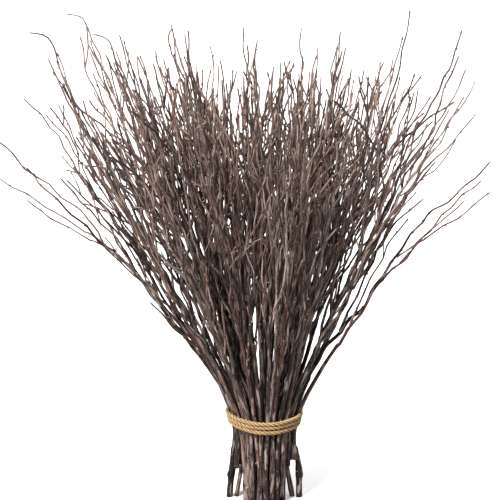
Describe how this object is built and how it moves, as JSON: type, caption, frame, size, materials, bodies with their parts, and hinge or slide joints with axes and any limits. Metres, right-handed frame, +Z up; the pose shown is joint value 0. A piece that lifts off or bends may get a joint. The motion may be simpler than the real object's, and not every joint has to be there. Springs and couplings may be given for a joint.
{
  "type": "bundle of twigs",
  "caption": "Upright bundle of thin dried twigs, cut level at the foot, tied low down with jute twine and fanning out into fine forked tips.",
  "frame": {"origin": "centre of the foot, in the plane that the cut ends stand on", "axes": "+Z up along the bundle towards the tips; +X across the crown's widest spread; +Y towards the back, where the twine is knotted; the front faces -Y"},
  "size_m": [0.4377, 0.2721, 0.448],
  "materials": {
    "bark": "dry matte bark, reddish to grey brown, with pale cut ends",
    "jute": "twisted three-ply jute, straw gold, slightly hairy"
  },
  "bodies": {
    "root": {"inner_twigs": "bark", "middle_twig_01": "bark", "middle_twig_02": "bark", "middle_twig_03": "bark", "middle_twig_04": "bark", "middle_twig_05": "bark", "middle_twig_06": "bark", "middle_twig_07": "bark", "middle_twig_08": "bark", "middle_twig_09": "bark", "middle_twig_10": "bark", "middle_twig_11": "bark", "middle_twig_12": "bark", "middle_twig_13": "bark", "middle_twig_14": "bark", "middle_twig_15": "bark", "middle_twig_16": "bark", "middle_twig_17": "bark", "middle_twig_18": "bark", "middle_twig_19": "bark", "middle_twig_20": "bark", "middle_twig_21": "bark", "middle_twig_22": "bark", "middle_twig_23": "bark", "middle_twig_24": "bark", "middle_twig_25": "bark", "middle_twig_26": "bark", "outer_twig_01": "bark", "outer_twig_02": "bark", "outer_twig_03": "bark", "outer_twig_04": "bark", "outer_twig_05": "bark", "outer_twig_06": "bark", "outer_twig_07": "bark", "outer_twig_08": "bark", "outer_twig_09": "bark", "outer_twig_10": "bark", "outer_twig_11": "bark", "outer_twig_12": "bark", "outer_twig_13": "bark", "outer_twig_14": "bark", "outer_twig_15": "bark", "outer_twig_16": "bark", "outer_twig_17": "bark", "outer_twig_18": "bark", "outer_twig_19": "bark", "outer_twig_20": "bark", "outer_twig_21": "bark", "outer_twig_22": "bark", "outer_twig_23": "bark", "outer_twig_24": "bark", "outer_twig_25": "bark", "outer_twig_26": "bark", "outer_twig_27": "bark", "outer_twig_28": "bark", "outer_twig_29": "bark", "outer_twig_30": "bark", "outer_twig_31": "bark", "twine_tie": "jute"}
  },
  "joints": []
}
